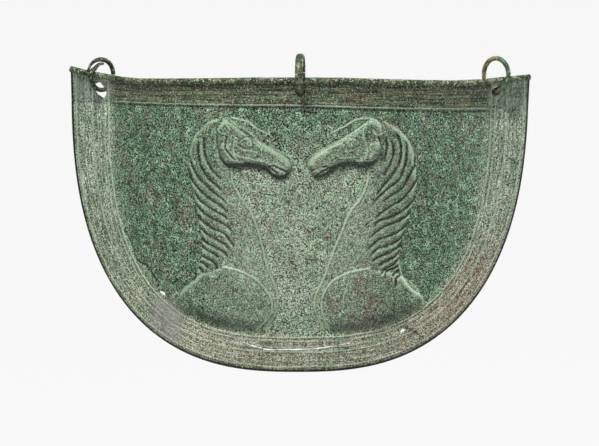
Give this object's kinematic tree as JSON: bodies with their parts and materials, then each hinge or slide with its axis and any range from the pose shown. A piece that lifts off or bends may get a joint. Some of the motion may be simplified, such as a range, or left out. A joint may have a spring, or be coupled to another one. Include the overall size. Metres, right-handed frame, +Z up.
{
  "type": "bronze belly guard",
  "caption": "Half-oval domed bronze belly guard with a rolled rim, a ribbed border and horses in relief, hung from a belt by wire rings.",
  "frame": {"origin": "inner top of the centre ring's eye, where a belt's hook or cord holds the guard", "axes": "+Z up as the guard hangs; -Y out of the domed front; +X to the viewer's right when the viewer faces the front"},
  "size_m": [0.2413, 0.0675, 0.1635],
  "materials": {
    "plate_bronze": "hammered bronze sheet under a sea-green to dark green patina with brown-red and cream specks, satin to matte",
    "ring_left_bronze": "bronze wire under a dark green-black patina, satin",
    "ring_centre_bronze": "bronze wire under a grey-green patina with brown spots, satin",
    "ring_right_bronze": "bronze wire worn to tan and ochre, with green spots, satin"
  },
  "bodies": {
    "plate": {"belly_plate": "plate_bronze"},
    "left_ring": {"ring_left": "ring_left_bronze"},
    "centre_ring": {"ring_centre": "ring_centre_bronze"},
    "right_ring": {"ring_right": "ring_right_bronze"}
  },
  "joints": [
    {"name": "left_ring_swing", "type": "hinge", "parent": "plate", "child": "left_ring", "pos_m": [-0.1035, 0.04712, -0.01802], "axis": [0.7071, -0.7071, 0], "range_deg": [-4, 56]},
    {"name": "centre_ring_swing", "type": "hinge", "parent": "plate", "child": "centre_ring", "pos_m": [0, 0, -0.0163], "axis": [0.9976, -0.0698, 0], "range_deg": [-8, 50]},
    {"name": "right_ring_swing", "type": "hinge", "parent": "plate", "child": "right_ring", "pos_m": [0.1022, 0.04519, -0.01822], "axis": [0.6947, 0.7193, 0], "range_deg": [-4, 62]}
  ]
}
